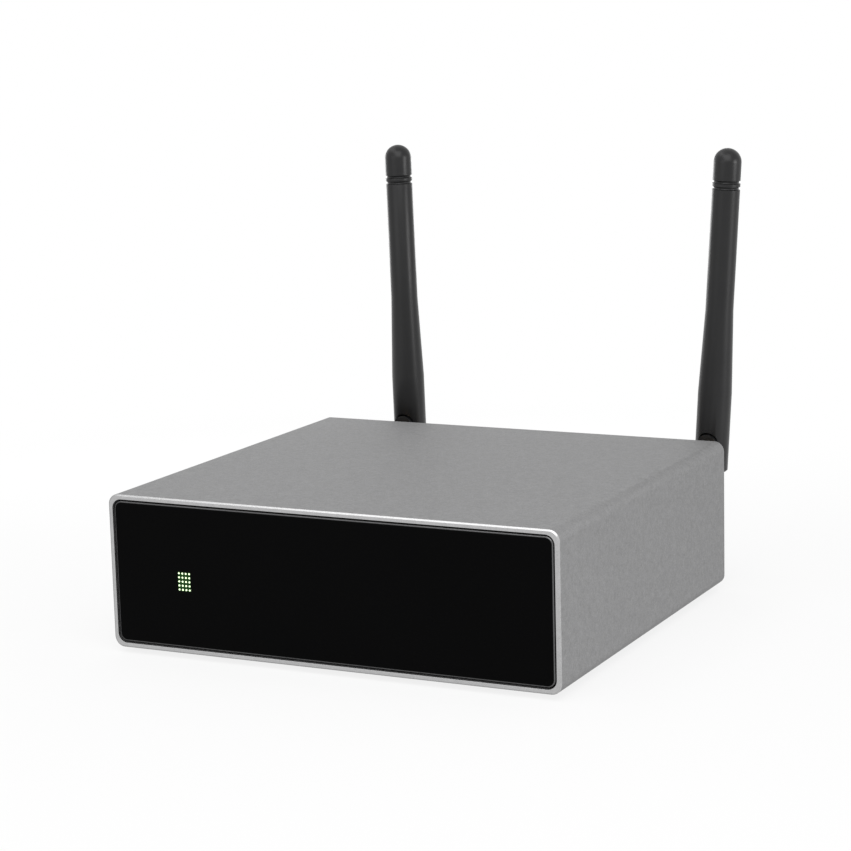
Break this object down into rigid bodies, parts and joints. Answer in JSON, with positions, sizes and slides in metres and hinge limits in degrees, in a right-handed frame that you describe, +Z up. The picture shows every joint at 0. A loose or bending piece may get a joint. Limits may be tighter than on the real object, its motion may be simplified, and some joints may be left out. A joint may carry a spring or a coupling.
{
  "type": "streaming amplifier",
  "caption": "Low box amplifier in an aluminium sleeve with a gloss black front, a small light grid, rear connectors and folding antennas that swivel.",
  "frame": {"origin": "on the table under the middle of the sleeve's width and of the overall depth, antennas upright", "axes": "+X to the right as seen from the front, +Y from the front panel to the connectors, +Z up"},
  "size_m": [0.1632, 0.1716, 0.1571],
  "materials": {
    "case_aluminium": "satin",
    "panel_gloss": "gloss",
    "tape_foam": "matte",
    "carrier_plastic": "matte",
    "steel_zinc": "satin",
    "light_guide_clear": "gloss",
    "board_laminate": "satin",
    "led_body": "gloss",
    "socket_plastic": "matte",
    "ribbon_film": "satin",
    "chip_resin": "matte",
    "heat_sink_aluminium": "matte",
    "ferrite": "matte",
    "film_box": "satin",
    "can_aluminium": "satin",
    "module_laminate": "satin",
    "shield_tin": "satin",
    "coax_jacket": "matte",
    "rear_aluminium": "matte",
    "post_insulation": "satin",
    "contact_gold": "polished",
    "tab_tin": "satin",
    "knob_red": "satin",
    "knob_black": "satin",
    "jack_plastic": "matte",
    "insert_plastic": "satin",
    "button_plastic": "satin",
    "jack_steel": "satin",
    "antenna_plastic": "satin",
    "foot_rubber": "matte"
  },
  "bodies": {
    "root": {"case_sleeve": "case_aluminium", "front_panel": "panel_gloss", "panel_tape": "tape_foam", "front_carrier": "carrier_plastic", "case_screws": "steel_zinc", "light_guide": "light_guide_clear", "display_board": "board_laminate", "display_leds": "led_body", "display_screws": "steel_zinc", "ribbon_sockets": "socket_plastic", "ribbon_cable": "ribbon_film", "main_board": "board_laminate", "amplifier_chip": "chip_resin", "heat_sink": "heat_sink_aluminium", "heat_sink_screws": "steel_zinc", "output_inductors": "ferrite", "film_capacitors": "film_box", "bulk_capacitors": "can_aluminium", "streaming_module": "module_laminate", "module_headers": "chip_resin", "module_shield": "shield_tin", "antenna_leads": "coax_jacket", "rear_panel": "rear_aluminium", "speaker_collars": "post_insulation", "speaker_posts": "contact_gold", "speaker_insulators": "post_insulation", "speaker_tabs": "tab_tin", "speaker_nuts": "contact_gold", "line_jack_bodies": "jack_plastic", "line_jack_barrels": "contact_gold", "line_jack_inserts": "insert_plastic", "trigger_jack": "jack_plastic", "setup_switch": "jack_plastic", "usb_jack": "jack_steel", "ethernet_jack": "jack_steel", "power_jack": "jack_plastic", "antenna_jacks": "contact_gold", "antenna_jack_nuts": "contact_gold", "feet": "foot_rubber", "antenna_left_plug": "contact_gold", "antenna_right_plug": "contact_gold"},
    "setup_button": {"setup_button": "button_plastic"},
    "antenna_left_base": {"antenna_left_knuckle": "antenna_plastic", "antenna_left_hinge_pin": "steel_zinc"},
    "antenna_left_rod": {"antenna_left_blade": "antenna_plastic", "antenna_left_cap": "antenna_plastic", "antenna_left_element": "contact_gold"},
    "antenna_right_base": {"antenna_right_knuckle": "antenna_plastic", "antenna_right_hinge_pin": "steel_zinc"},
    "antenna_right_rod": {"antenna_right_blade": "antenna_plastic", "antenna_right_cap": "antenna_plastic", "antenna_right_element": "contact_gold"},
    "speaker_bush_1": {"speaker_bush_1": "contact_gold"},
    "speaker_knob_1": {"speaker_knob_1": "knob_red"},
    "speaker_bush_2": {"speaker_bush_2": "contact_gold"},
    "speaker_knob_2": {"speaker_knob_2": "knob_black"},
    "speaker_bush_3": {"speaker_bush_3": "contact_gold"},
    "speaker_knob_3": {"speaker_knob_3": "knob_red"},
    "speaker_bush_4": {"speaker_bush_4": "contact_gold"},
    "speaker_knob_4": {"speaker_knob_4": "knob_black"}
  },
  "joints": [
    {"name": "antenna_left_swivel", "type": "hinge", "parent": "root", "child": "antenna_left_base", "pos_m": [-0.0514, 0.0797, 0.0462], "axis": [0, 1, 0], "range_deg": [-88.8, 26.2]},
    {"name": "antenna_left_tilt", "type": "hinge", "parent": "antenna_left_base", "child": "antenna_left_rod", "pos_m": [-0.0514, 0.0797, 0.0462], "axis": [-0.9998, 0, -0.0209], "range_deg": [0, 90]},
    {"name": "antenna_right_swivel", "type": "hinge", "parent": "root", "child": "antenna_right_base", "pos_m": [0.0707, 0.0797, 0.0462], "axis": [0, 1, 0], "range_deg": [-28.5, 86.5]},
    {"name": "antenna_right_tilt", "type": "hinge", "parent": "antenna_right_base", "child": "antenna_right_rod", "pos_m": [0.0707, 0.0797, 0.0462], "axis": [-0.9981, 0, 0.061], "range_deg": [0, 90]},
    {"name": "speaker_knob_1_travel", "type": "slide", "parent": "root", "child": "speaker_bush_1", "axis": [0, 1, 0], "range_m": [0, 0.0045]},
    {"name": "speaker_knob_1_turn", "type": "hinge", "parent": "speaker_bush_1", "child": "speaker_knob_1", "pos_m": [-0.07, 0.0632, 0.027], "axis": [0, -1, 0], "range_deg": [0, 1621]},
    {"name": "speaker_knob_2_travel", "type": "slide", "parent": "root", "child": "speaker_bush_2", "axis": [0, 1, 0], "range_m": [0, 0.0045]},
    {"name": "speaker_knob_2_turn", "type": "hinge", "parent": "speaker_bush_2", "child": "speaker_knob_2", "pos_m": [-0.05095, 0.0632, 0.027], "axis": [0, -1, 0], "range_deg": [0, 1621]},
    {"name": "speaker_knob_3_travel", "type": "slide", "parent": "root", "child": "speaker_bush_3", "axis": [0, 1, 0], "range_m": [0, 0.0045]},
    {"name": "speaker_knob_3_turn", "type": "hinge", "parent": "speaker_bush_3", "child": "speaker_knob_3", "pos_m": [-0.035, 0.0632, 0.027], "axis": [0, -1, 0], "range_deg": [0, 1621]},
    {"name": "speaker_knob_4_travel", "type": "slide", "parent": "root", "child": "speaker_bush_4", "axis": [0, 1, 0], "range_m": [0, 0.0045]},
    {"name": "speaker_knob_4_turn", "type": "hinge", "parent": "speaker_bush_4", "child": "speaker_knob_4", "pos_m": [-0.01595, 0.0632, 0.027], "axis": [0, -1, 0], "range_deg": [0, 1621]},
    {"name": "setup_button_press", "type": "slide", "parent": "root", "child": "setup_button", "axis": [0, -1, 0], "range_m": [0, 0.0006], "stiffness_N_per_m": 500, "springref_m": -0.0005}
  ],
  "couplings": [
    {"joint": "speaker_knob_1_turn", "follows": "speaker_knob_1_travel", "rad_per_m": 6283.2},
    {"joint": "speaker_knob_2_turn", "follows": "speaker_knob_2_travel", "rad_per_m": 6283.2},
    {"joint": "speaker_knob_3_turn", "follows": "speaker_knob_3_travel", "rad_per_m": 6283.2},
    {"joint": "speaker_knob_4_turn", "follows": "speaker_knob_4_travel", "rad_per_m": 6283.2}
  ]
}
